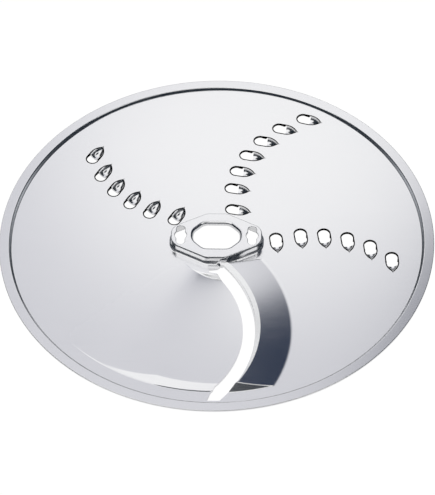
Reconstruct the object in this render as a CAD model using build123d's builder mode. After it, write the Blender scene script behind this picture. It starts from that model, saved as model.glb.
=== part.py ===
from build123d import *
from math import acos, cos, degrees, hypot, radians, sin, sqrt, tan
import os

# Slicing and grating disc of a food processor, pressed from one sheet of stainless steel.
# The axis of rotation is Z through the drive hole, and the hub's long side lies along X.
# Z = 0 is the surface that the disc rests on, under the lowest points of the grating teeth.
# All lengths are in millimetres and all angles in degrees.

# Sheet and raised border
DISC_DIAMETER = 180.0
SHEET = 0.8
BORDER_WIDTH = 5.0  # from the outer edge to the foot of the border
BORDER_RISE = 1.2
BORDER_STEP_RUN = 1.0  # radial length of the sloping step
BORDER_EDGE_DROP = 0.2  # the border falls this much from its crest to the outer edge
BORDER_FOOT_BEND = 1.0
BORDER_CREST_BEND = 1.5

# Raised hub: long, with slanted corners and nearly upright walls
HUB_LENGTH = 37.6
HUB_WIDTH = 23.8
HUB_SIDE_FLAT = 8.4
HUB_END_FLAT = 8.6
HUB_SIDE_CORNER = 4.0
HUB_END_CORNER = 5.0
HUB_RISE = 4.2
HUB_DRAFT = 2.0
HUB_CREST_BEND = 1.0
HUB_FOOT_BEND = 0.7

# Drive hole with its turned-down collar
DRIVE_LENGTH = 19.2
DRIVE_WIDTH = 13.4
DRIVE_CORNER_CUT = 4.4
DRIVE_CORNER_BEND = 2.2
DRIVE_LIP = 0.6  # rounding of the upper edge
COLLAR_DEPTH = 1.9  # from the hub's top face to the collar's lower edge

# Two locating holes, each a bore with a slot through it
LOCATOR_SPACING = 29.6
LOCATOR_BORE = 4.9
LOCATOR_SLOT_WIDTH = 3.5
LOCATOR_SLOT_LENGTH = 10.0

# Grating teeth: drop-shaped holes whose pointed end is pressed down into a pocket
TOOTH_WIDTH = 5.9
TOOTH_MOUTH = 2.75  # from the centre of the round end to the cutting lip
TOOTH_TIP = 8.15  # from the centre of the round end to the point
TOOTH_PITCH = 9.7  # radial step from one tooth to the next
TOOTH_RIM_GAP = 4.5  # no tooth has its point nearer to the border than this

# Three curved arms of teeth: the direction of each arc's centre and the first tooth's point
ARM_SPACING = 72.0
FAR_ARM_DIRECTION = 22.3
LEFT_ARM_START = 23.4
FAR_ARM_START = 21.5
RIGHT_ARM_START = 26.2
ARM_INNER_RADIUS = 18.0  # where the arc of an arm comes nearest to the disc's axis
ARM_RADIUS = 46.0
ARM_HEADING = -32.0  # teeth against the direction of their arm
ARM_OUTER_TURN = 8.0  # extra turn of a tooth at the disc's edge
ARM_STRAIGHT_RADIUS = 40.0  # where the extra turn is nothing

# Slicing slot, from the hub to the border
SLOT_EDGE_RADIUS = 53.4  # arc of the cutting edge
SLOT_PLATE_RADIUS = 44.4  # arc of the edge that faces the blade
SLOT_HUB_GAP = 1.5  # between the hub's foot and the slot's tip
SLOT_TIP_X = 2.0
SLOT_EDGE_HUB_X = 3.2
SLOT_EDGE_HUB_DROP = 0.5  # below the tip
SLOT_CORNER_X = 0.6
SLOT_CORNER_DROP = 1.3
SLOT_RELIEF_X = -2.65
SLOT_RELIEF_DROP = 1.6
SLOT_RELIEF_WIDTH = 1.5
SLOT_PLATE_HUB_X = 0.5
SLOT_PLATE_HUB_DROP = 3.5
SLOT_RIM_GAP = 0.9  # between the slot's end and the foot of the border
SLOT_RIM_START = 268.8
SLOT_RIM_END = 272.3
SLOT_ARC_GAP = 9.5  # between the ends of the two arcs and the foot of the border
SLOT_PLATE_ARC_END = 271.0
SLOT_EDGE_ARC_END = 278.2
SLOT_PRESSED_GAP = 2.0  # the pressed shapes on both sides end this far past the slot's near edge

# Blade: the sheet past the slot, raised as part of a cone and ground along the cutting edge
BLADE_CENTRE_X = -31.3
BLADE_CENTRE_Y = -47.8
BLADE_RISE = 2.0
BLADE_BEND_RADIUS = 63.1  # where the cone leaves the plate
BLADE_GRIND_WIDTH = 2.16  # of the ground bevel, at the middle of the cutting edge
BLADE_GRIND_ANGLE = 15.0
BLADE_BACK = 5.0  # the cone and the bevel run this far past the bevel's start, into the slot
BLADE_RIM_GAP = 5.0  # between the outer end wall and the foot of the border
BLADE_RIM_WALL_RUN = 3.3
BLADE_HUB_WALL_X = 5.5
BLADE_HUB_WALL_Y = -11.2
BLADE_HUB_WALL_DIRECTION = 8.5
BLADE_HUB_WALL_RUN = 1.5
BLADE_SWEEP_START = -62.0  # the cone is made between these angles about its own axis
BLADE_SWEEP_END = 47.0
BLADE_GRIND_START = -47.0  # and the bevel between these
BLADE_GRIND_END = 43.0

# Sunk sector before the slot: its floor falls evenly with the angle about the disc's axis
SECTOR_START_ANGLE = 229.0
SECTOR_DROP_ANGLE = 284.0  # here the floor has fallen by the whole drop
SECTOR_DROP = 2.2
SECTOR_INNER_RADIUS = 17.6
SECTOR_INNER_WALL_RUN = 0.8
SECTOR_RIM_GAP = 5.5  # between the outer wall and the foot of the border
SECTOR_OUTER_WALL_RUN = 3.5
SECTOR_LEAD = 4.0  # the floor's surface starts this far before the sector, above the plate
SECTOR_OVERRUN = 8.0  # and ends this far past the whole drop, in the slot
SECTOR_SECTIONS = 7

# Heights and radii that follow from the sizes above
tooth_depth = TOOTH_WIDTH / 2
plate_top = tooth_depth + SHEET
sheet_middle = plate_top - SHEET / 2
plate_bottom = plate_top - SHEET
hub_top = plate_top + HUB_RISE
clear = 4 * SHEET  # cuts start and end this far outside the sheet
disc_radius = DISC_DIAMETER / 2
border_foot_radius = disc_radius - BORDER_WIDTH
hub_foot_y = -HUB_WIDTH / 2 - HUB_RISE * tan(radians(HUB_DRAFT))
arm_centre_distance = ARM_INNER_RADIUS + ARM_RADIUS
blade_axis = Axis((BLADE_CENTRE_X, BLADE_CENTRE_Y, 0), (0, 0, 1))


def polar(radius, angle):
    """A point in the plane of the disc."""
    return (radius * cos(radians(angle)), radius * sin(radians(angle)))


def upright_plane(x, y, angle):
    """The plane that holds the upright line at x and y, with its own X axis at an angle."""
    return Plane(origin=(x, y, 0), x_dir=(*polar(1, angle), 0), z_dir=(*polar(1, angle - 90), 0))


# The slot's corners
slot_tip_y = hub_foot_y - SLOT_HUB_GAP
edge_hub_end = (SLOT_EDGE_HUB_X, slot_tip_y - SLOT_EDGE_HUB_DROP)
edge_rim_end = polar(border_foot_radius - SLOT_ARC_GAP, SLOT_EDGE_ARC_END)
plate_hub_end = (SLOT_PLATE_HUB_X, slot_tip_y - SLOT_PLATE_HUB_DROP)
plate_rim_end = polar(border_foot_radius - SLOT_ARC_GAP, SLOT_PLATE_ARC_END)
cutting_edge = RadiusArc(edge_rim_end, edge_hub_end, -SLOT_EDGE_RADIUS)
near_edge = RadiusArc(plate_hub_end, plate_rim_end, SLOT_PLATE_RADIUS)
edge_reach = cutting_edge.arc_center.X + SLOT_EDGE_RADIUS - BLADE_CENTRE_X
grind_radius = edge_reach + BLADE_GRIND_WIDTH  # where the bevel starts, from the blade's centre
blade_inner_radius = grind_radius - BLADE_BACK


def hub_shape(inset, crest_bend, foot):
    """The hub as a full block, with its top and walls an inset below the outer surface."""
    top = hub_top - inset
    wall_inset = inset * (1 - sin(radians(HUB_DRAFT))) / cos(radians(HUB_DRAFT))
    with BuildPart() as block:
        with BuildSketch(Plane.XY.offset(top)) as outline:
            with BuildLine():
                Polyline(
                    (HUB_SIDE_FLAT / 2, HUB_WIDTH / 2),
                    (-HUB_SIDE_FLAT / 2, HUB_WIDTH / 2),
                    (-HUB_LENGTH / 2, HUB_END_FLAT / 2),
                    (-HUB_LENGTH / 2, -HUB_END_FLAT / 2),
                    (-HUB_SIDE_FLAT / 2, -HUB_WIDTH / 2),
                    (HUB_SIDE_FLAT / 2, -HUB_WIDTH / 2),
                    (HUB_LENGTH / 2, -HUB_END_FLAT / 2),
                    (HUB_LENGTH / 2, HUB_END_FLAT / 2),
                    close=True,
                )
            make_face()
            side_corners = outline.vertices().group_by(Axis.Y)
            fillet(side_corners[0] + side_corners[-1], HUB_SIDE_CORNER)
            end_corners = outline.vertices().group_by(Axis.X)
            fillet(end_corners[0] + end_corners[-1], HUB_END_CORNER)
            if wall_inset:
                offset(amount=-wall_inset)
        extrude(amount=foot - top, taper=-HUB_DRAFT)
        fillet(block.faces().sort_by(Axis.Z)[-1].edges(), crest_bend)
    return block.part


def drive_outline(grow):
    """The drive hole: a rectangle with cut and rounded corners, grown by a wall."""
    with BuildSketch() as outline:
        Rectangle(DRIVE_LENGTH, DRIVE_WIDTH)
        chamfer(outline.vertices(), DRIVE_CORNER_CUT)
        fillet(outline.vertices(), DRIVE_CORNER_BEND)
        if grow:
            offset(amount=grow)
    return outline.sketch


def blade_shape(inset, base):
    """The raised blade as a full block: part of a cone, cut off by two sloping end walls."""
    slope = BLADE_RISE / (BLADE_BEND_RADIUS - grind_radius)
    ramp_foot = plate_top - inset * hypot(1, slope)
    tall = plate_top + 3 * BLADE_RISE
    with BuildPart() as block:
        with BuildSketch(upright_plane(BLADE_CENTRE_X, BLADE_CENTRE_Y, BLADE_SWEEP_START)):
            with BuildLine():
                Polyline(
                    (blade_inner_radius, base),
                    (BLADE_BEND_RADIUS + (ramp_foot - base) / slope, base),
                    (blade_inner_radius, ramp_foot + (BLADE_BEND_RADIUS - blade_inner_radius) * slope),
                    close=True,
                )
            make_face()
        revolve(axis=blade_axis, revolution_arc=BLADE_SWEEP_END - BLADE_SWEEP_START)
        with BuildSketch(Plane.XY.offset(base)):
            with Locations(near_edge.arc_center):
                Circle(SLOT_PLATE_RADIUS + SLOT_PRESSED_GAP)
        extrude(amount=tall - base, mode=Mode.SUBTRACT)

        rim_run = BLADE_RIM_WALL_RUN / BLADE_RISE
        rim_foot = border_foot_radius - BLADE_RIM_GAP - inset * hypot(1, rim_run)
        with BuildSketch(Plane.XZ):
            with BuildLine():
                Polyline(
                    (0, base),
                    (rim_foot + (plate_top - base) * rim_run, base),
                    (rim_foot + (plate_top - tall) * rim_run, tall),
                    (0, tall),
                    close=True,
                )
            make_face()
        revolve(axis=Axis.Z, mode=Mode.INTERSECT)

        hub_run = BLADE_HUB_WALL_RUN / BLADE_RISE
        hub_foot = inset * hypot(1, hub_run)
        along = polar(disc_radius, BLADE_HUB_WALL_DIRECTION)
        wall_end = (BLADE_HUB_WALL_X + along[0], BLADE_HUB_WALL_Y + along[1])
        with BuildSketch(upright_plane(*wall_end, BLADE_HUB_WALL_DIRECTION - 90)):
            with BuildLine():
                Polyline(
                    (hub_foot - (plate_top - base) * hub_run, base),
                    (hub_foot + (tall - plate_top) * hub_run, tall),
                    (DISC_DIAMETER, tall),
                    (DISC_DIAMETER, base),
                    close=True,
                )
            make_face()
        extrude(amount=DISC_DIAMETER, mode=Mode.INTERSECT)
    return block.part


def sector_shape(inset, top):
    """The space above the sunk sector's floor, or with an inset the block that carries it."""
    inner_run = SECTOR_INNER_WALL_RUN / SECTOR_DROP
    outer_run = SECTOR_OUTER_WALL_RUN / SECTOR_DROP
    inner = SECTOR_INNER_RADIUS - inset * hypot(1, inner_run)
    outer = border_foot_radius - SECTOR_RIM_GAP + inset * hypot(1, outer_run)
    first = SECTOR_START_ANGLE - SECTOR_LEAD
    last = SECTOR_DROP_ANGLE + SECTOR_OVERRUN
    fall_rate = SECTOR_DROP / (SECTOR_DROP_ANGLE - SECTOR_START_ANGLE)
    with BuildPart() as block:
        for step in range(SECTOR_SECTIONS):
            angle = first + (last - first) * step / (SECTOR_SECTIONS - 1)
            floor = plate_top - fall_rate * (angle - SECTOR_START_ANGLE) - inset
            with BuildSketch(upright_plane(0, 0, angle)):
                with BuildLine():
                    Polyline(
                        (inner + (plate_top - floor) * inner_run, floor),
                        (outer - (plate_top - floor) * outer_run, floor),
                        (outer - (plate_top - top) * outer_run, top),
                        (inner + (plate_top - top) * inner_run, top),
                        close=True,
                    )
                make_face()
        loft()
        with BuildSketch(Plane.XY.offset(-clear)):
            with Locations(near_edge.arc_center):
                Circle(SLOT_PLATE_RADIUS + SLOT_PRESSED_GAP)
        extrude(amount=hub_top + 2 * clear, mode=Mode.INTERSECT)
    return block.part


def tooth_profile(inset):
    """Half of a tooth's pocket seen from above, from the lip to the point, grown by an inset."""
    tail = TOOTH_TIP - TOOTH_MOUTH
    bow = (tail**2 + tooth_depth**2) / (2 * tooth_depth)
    reach = TOOTH_MOUTH + sqrt((bow + inset) ** 2 - (bow - tooth_depth) ** 2)
    lip = (TOOTH_MOUTH, -tooth_depth - inset)
    with BuildSketch() as profile:
        with BuildLine():
            Polyline((reach, 0), (TOOTH_MOUTH, 0), lip)
            TangentArc(lip, (reach, 0), tangent=(1, 0))
        make_face()
    return profile.sketch


def arm_places(direction, start):
    """The teeth of one arm: the centre of each round end, turned so that X runs to the point."""
    places = []
    last = border_foot_radius - TOOTH_RIM_GAP
    for number in range(int((last - start) / TOOTH_PITCH) + 1):
        radius = start + number * TOOTH_PITCH
        reach = radius**2 + arm_centre_distance**2 - ARM_RADIUS**2
        swing = degrees(acos(reach / (2 * radius * arm_centre_distance)))
        outward = (radius - ARM_STRAIGHT_RADIUS) / (disc_radius - ARM_STRAIGHT_RADIUS)
        heading = direction + ARM_HEADING - ARM_OUTER_TURN * outward**2
        point = polar(radius, direction + swing)
        back = polar(TOOTH_TIP, heading)
        places.append(Location((point[0] - back[0], point[1] - back[1], plate_top), (0, 0, heading)))
    return places


tooth_places = (
    arm_places(FAR_ARM_DIRECTION + ARM_SPACING, LEFT_ARM_START)
    + arm_places(FAR_ARM_DIRECTION, FAR_ARM_START)
    + arm_places(FAR_ARM_DIRECTION - ARM_SPACING, RIGHT_ARM_START)
)

# Outside of one tooth: the wall of the pocket, below the plate
with BuildPart() as tooth_wall:
    add(tooth_profile(SHEET))
    revolve(axis=Axis.X, revolution_arc=180)
    split(bisect_by=Plane.XY.offset(-SHEET / 2), keep=Keep.BOTTOM)

# Inside of one tooth: the pocket and the open hole in front of its lip
with BuildPart() as tooth_hollow:
    add(tooth_profile(0))
    revolve(axis=Axis.X)
    with BuildSketch(Plane.XY.offset(-plate_top - clear)):
        Circle(TOOTH_WIDTH / 2)
        with Locations((TOOTH_MOUTH / 2, 0)):
            Rectangle(TOOTH_MOUTH, TOOTH_WIDTH)
    extrude(amount=plate_top + 2 * clear)

# The whole disc: the plate and its border, then what is pressed up or down, then what is cut
with BuildPart() as disc:
    with BuildSketch(Plane.XZ):
        with BuildLine():
            FilletPolyline(
                (0, plate_top),
                (border_foot_radius, plate_top),
                (border_foot_radius + BORDER_STEP_RUN, plate_top + BORDER_RISE),
                (disc_radius, plate_top + BORDER_RISE - BORDER_EDGE_DROP),
                radius=[BORDER_FOOT_BEND, BORDER_CREST_BEND],
            )
            offset(amount=SHEET, side=Side.RIGHT)
        make_face()
    revolve(axis=Axis.Z)

    # Hub: the bend at its foot is rounded on both faces of the sheet
    add(hub_shape(0, HUB_CREST_BEND, sheet_middle))
    add(hub_shape(SHEET, HUB_CREST_BEND - SHEET, plate_bottom - clear), mode=Mode.SUBTRACT)
    upper_foot = disc.faces().filter_by(Plane.XY).group_by(Axis.Z)[1].face().inner_wires()
    fillet(upper_foot.edges(), HUB_FOOT_BEND)
    lower_foot = disc.faces().filter_by(Plane.XY).group_by(Axis.Z)[0].face().inner_wires()
    fillet(lower_foot.edges(), HUB_FOOT_BEND + SHEET)

    # Blade pressed up and sector pressed down, each with its hollow on the other face
    add(blade_shape(0, sheet_middle))
    add(sector_shape(SHEET, sheet_middle))
    add(blade_shape(SHEET, plate_bottom - clear), mode=Mode.SUBTRACT)
    add(sector_shape(0, plate_top + clear), mode=Mode.SUBTRACT)

    # Grating teeth
    with Locations(*tooth_places):
        add(tooth_wall.part)
    with Locations(*tooth_places):
        add(tooth_hollow.part, mode=Mode.SUBTRACT)

    # Slicing slot, with a square relief where the sunk sector leaves the hub
    with BuildSketch(Plane.XY.offset(-clear)):
        with BuildLine():
            add(cutting_edge)
            Polyline(
                edge_hub_end,
                (SLOT_TIP_X, slot_tip_y),
                (SLOT_CORNER_X, slot_tip_y - SLOT_CORNER_DROP),
                (SLOT_RELIEF_X, slot_tip_y - SLOT_RELIEF_DROP),
                (SLOT_RELIEF_X, slot_tip_y - SLOT_RELIEF_DROP - SLOT_RELIEF_WIDTH),
                plate_hub_end,
            )
            add(near_edge)
            Polyline(
                plate_rim_end,
                polar(border_foot_radius - SLOT_RIM_GAP, SLOT_RIM_START),
                polar(border_foot_radius - SLOT_RIM_GAP, SLOT_RIM_END),
                edge_rim_end,
            )
        make_face()
    extrude(amount=hub_top + 2 * clear, mode=Mode.SUBTRACT)

    # Bevel ground along the cutting edge
    grind_top = plate_top + BLADE_RISE
    grind_drop = BLADE_BACK * tan(radians(BLADE_GRIND_ANGLE))
    with BuildSketch(upright_plane(BLADE_CENTRE_X, BLADE_CENTRE_Y, BLADE_GRIND_START)):
        with BuildLine():
            Polyline(
                (grind_radius, grind_top),
                (blade_inner_radius, grind_top - grind_drop),
                (blade_inner_radius, grind_top + clear),
                (grind_radius, grind_top + clear),
                close=True,
            )
        make_face()
    revolve(axis=blade_axis, revolution_arc=BLADE_GRIND_END - BLADE_GRIND_START, mode=Mode.SUBTRACT)

    # Drive hole, with its collar turned down inside the hub and its upper edge rounded
    with BuildSketch(Plane.XY.offset(hub_top - COLLAR_DEPTH)):
        add(drive_outline(SHEET))
    extrude(amount=COLLAR_DEPTH - SHEET / 2)
    with BuildSketch(Plane.XY.offset(hub_top - COLLAR_DEPTH - clear)):
        add(drive_outline(0))
    extrude(amount=COLLAR_DEPTH + 2 * clear, mode=Mode.SUBTRACT)
    fillet(disc.faces().filter_by(Plane.XY).sort_by(Axis.Z)[-1].inner_wires().edges(), DRIVE_LIP)

    # Locating holes
    with BuildSketch(Plane.XY.offset(hub_top - COLLAR_DEPTH)):
        with GridLocations(LOCATOR_SPACING, 0, 2, 1):
            Circle(LOCATOR_BORE / 2)
            SlotOverall(LOCATOR_SLOT_LENGTH, LOCATOR_SLOT_WIDTH, rotation=90)
    extrude(amount=COLLAR_DEPTH + clear, mode=Mode.SUBTRACT)

disc.part.label = "slicing_grating_disc"
os.makedirs("parts", exist_ok=True)
export_step(disc.part, "parts/slicing_grating_disc.step")
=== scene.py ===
from math import atan2, cos, hypot, pi, radians, sin, sqrt, tan

import bmesh
import bpy
import numpy as np
from mathutils import Matrix, Vector
from mathutils.geometry import delaunay_2d_cdt
from mathutils.kdtree import KDTree


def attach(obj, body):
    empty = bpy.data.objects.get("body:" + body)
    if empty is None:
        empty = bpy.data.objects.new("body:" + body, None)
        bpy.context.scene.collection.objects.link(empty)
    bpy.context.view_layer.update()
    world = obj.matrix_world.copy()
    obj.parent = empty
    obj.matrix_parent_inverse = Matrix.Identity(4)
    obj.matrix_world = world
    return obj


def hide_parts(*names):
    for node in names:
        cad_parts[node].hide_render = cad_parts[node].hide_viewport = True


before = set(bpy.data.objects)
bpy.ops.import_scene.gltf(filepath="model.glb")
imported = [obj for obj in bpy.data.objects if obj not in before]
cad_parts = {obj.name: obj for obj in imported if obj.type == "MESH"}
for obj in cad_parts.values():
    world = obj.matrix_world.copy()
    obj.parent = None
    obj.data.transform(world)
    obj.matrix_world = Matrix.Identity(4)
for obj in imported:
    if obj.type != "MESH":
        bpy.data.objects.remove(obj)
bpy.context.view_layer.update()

# Sheet stock.
# The whole disc is pressed, pierced and ground from one cold-rolled stainless sheet.
# Its finish is semi-polished: a faint grain from the rolls and a soft haze over the gloss.
SHEET = 0.0008
DISC_RADIUS = 0.090
TOOTH_DEPTH = 0.00295
PLATE_TOP = TOOTH_DEPTH + SHEET
SHEET_COLOUR = (0.94, 0.941, 0.952)
SHEET_GRAIN = {"Line scale": 900.0, "Cloud scale": 30.0, "Low roughness": 0.14, "High roughness": 0.22,
               "Low tone": 0.95, "High tone": 1.0}
SHEET_RELIEF = 0.000004
GRAIN_STRETCH = (0.05, 1.0, 1.0)  # the rolls draw the grain out along X
LINE_DETAIL = 4.0
CLOUD_DETAIL = 3.0
LINE_SHARE = 0.5  # of tone and gloss; the clouds have the rest
RELIEF_STRENGTH = 0.3


def add_node(tree, kind, inputs=(), **settings):
    """A node with its settings, and with inputs filled by name or number from sockets or plain values."""
    node = tree.nodes.new(kind)
    for name, value in settings.items():
        setattr(node, name, value)
    for name, value in dict(inputs).items():
        if isinstance(value, bpy.types.NodeSocket):
            tree.links.new(value, node.inputs[name])
        else:
            node.inputs[name].default_value = value
    return node


def math_node(tree, operation, *operands):
    """A maths node whose operands are sockets or numbers; returns its output."""
    return add_node(tree, "ShaderNodeMath", enumerate(operands), operation=operation).outputs[0]


def colour_mix(tree, factor, first, second, blend="MIX"):
    """A mix of two colours, where all may be sockets or values; returns its output."""
    return add_node(tree, "ShaderNodeMix", {"Factor": factor, "A": first, "B": second},
                    data_type="RGBA", blend_type=blend).outputs["Result"]


def rolled_grain_group():
    """Fine lines along X left by the rolls, with slow cloudy changes of gloss and tone."""
    group = bpy.data.node_groups.new("rolled_grain", "ShaderNodeTree")
    for label, value in SHEET_GRAIN.items():
        socket = group.interface.new_socket(label, in_out="INPUT", socket_type="NodeSocketFloat")
        socket.default_value = value
    for label in ("Tone", "Roughness", "Height"):
        group.interface.new_socket(label, in_out="OUTPUT", socket_type="NodeSocketFloat")
    given = group.nodes.new("NodeGroupInput").outputs
    coordinates = group.nodes.new("ShaderNodeTexCoord").outputs["Object"]
    stretched = add_node(group, "ShaderNodeVectorMath", {0: coordinates, 1: GRAIN_STRETCH},
                         operation="MULTIPLY").outputs[0]
    lines = add_node(group, "ShaderNodeTexNoise", {
        "Vector": stretched, "Scale": given["Line scale"], "Detail": LINE_DETAIL}).outputs["Fac"]
    clouds = add_node(group, "ShaderNodeTexNoise", {
        "Vector": coordinates, "Scale": given["Cloud scale"], "Detail": CLOUD_DETAIL}).outputs["Fac"]
    mixed = math_node(group, "ADD", math_node(group, "MULTIPLY", lines, LINE_SHARE),
                      math_node(group, "MULTIPLY", clouds, 1 - LINE_SHARE))
    spread = {"Height": lines}
    for label in ("Tone", "Roughness"):
        spread[label] = add_node(group, "ShaderNodeMapRange", {
            "Value": mixed, "To Min": given[f"Low {label.lower()}"],
            "To Max": given[f"High {label.lower()}"]}).outputs["Result"]
    add_node(group, "NodeGroupOutput", spread)
    return group


rolled_grain = rolled_grain_group()


def steel_material(name, colour, values, relief):
    """Bare stainless steel with the grain group that drives its tone, gloss and fine relief."""
    material = bpy.data.materials.new(name)
    material.use_nodes = True
    tree = material.node_tree
    grain = add_node(tree, "ShaderNodeGroup", node_tree=rolled_grain)
    for label, value in values.items():
        grain.inputs[label].default_value = value
    tint = colour_mix(tree, 1.0, (*colour, 1.0), grain.outputs["Tone"], "MULTIPLY")
    bump = add_node(tree, "ShaderNodeBump", {
        "Strength": RELIEF_STRENGTH, "Distance": relief, "Height": grain.outputs["Height"]})
    shader = tree.nodes["Principled BSDF"].inputs
    shader["Metallic"].default_value = 1.0
    tree.links.new(tint, shader["Base Color"])
    tree.links.new(grain.outputs["Roughness"], shader["Roughness"])
    tree.links.new(bump.outputs["Normal"], shader["Normal"])
    return material


steel_sheet = steel_material("steel_sheet", SHEET_COLOUR, SHEET_GRAIN, SHEET_RELIEF)

# Grating teeth.
# Each tooth is a drop-shaped hole whose pointed end is pressed down into a scoop with a sharp lip.
# They are punched in one stroke from the same sheet, in curved arms that run from hub to border.
TOOTH_HALF_WIDTH = TOOTH_DEPTH
TOOTH_MOUTH = 0.00275
TOOTH_TIP = 0.00815
TOOTH_ROLL = 0.0001  # rounding of the upper edge where the punch drew the sheet in
TOOTH_ROLL_SHARE = 0.35  # of the scoop's radius, near its point, where the full roll has no room
TOOTH_SMALLEST_ROLL = 0.00003
TOOTH_UPPER_MARGIN = 0.0006
TOOTH_LOWER_MARGIN = 0.00025
OGIVE_STEPS = 14
SIDE_STEPS = 3
ROUND_STEPS = 9
SCOOP_ROWS = 9
ROLL_ROWS = 3
tooth_tail = TOOTH_TIP - TOOTH_MOUTH
tooth_bow = (tooth_tail**2 + TOOTH_HALF_WIDTH**2) / (2 * TOOTH_HALF_WIDTH)


def scoop_radius(x, wall):
    """Radius of the scoop's round section at a distance x from the round end, grown by a wall."""
    return max(sqrt((tooth_bow + wall) ** 2 - (x - TOOTH_MOUTH) ** 2) - tooth_bow + TOOTH_HALF_WIDTH, 0.0)


def scoop_reach(wall, depth):
    """Where the scoop's underside, grown by a wall, has only this depth left."""
    return TOOTH_MOUTH + sqrt((tooth_bow + wall) ** 2 - (tooth_bow - TOOTH_HALF_WIDTH + depth) ** 2)


SMALLEST_LENGTH = 1e-12
MITRE_LIMIT = 0.5  # a corner of a loop is stretched by no more than its inverse


def unit(vectors):
    """Vectors scaled to a length of 1."""
    return vectors / np.maximum(np.linalg.norm(vectors, axis=1, keepdims=True), SMALLEST_LENGTH)


def loop_normals(points):
    """Unit normals of a closed loop in the plane, to the right of its direction of travel."""
    ahead = unit(np.roll(points, -1, 0) - points)
    behind = unit(points - np.roll(points, 1, 0))
    middle = unit(ahead + behind)
    stretch = 1 / np.clip(np.sum(middle * ahead, axis=1, keepdims=True), MITRE_LIMIT, 1.0)
    return np.c_[middle[:, 1], -middle[:, 0]] * stretch


def mirrored(half):
    """A closed loop from its half on the +Y side, whose first and last points lie on the X axis."""
    return np.vstack([half, (half[1:-1] * (1, -1))[::-1]])


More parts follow.
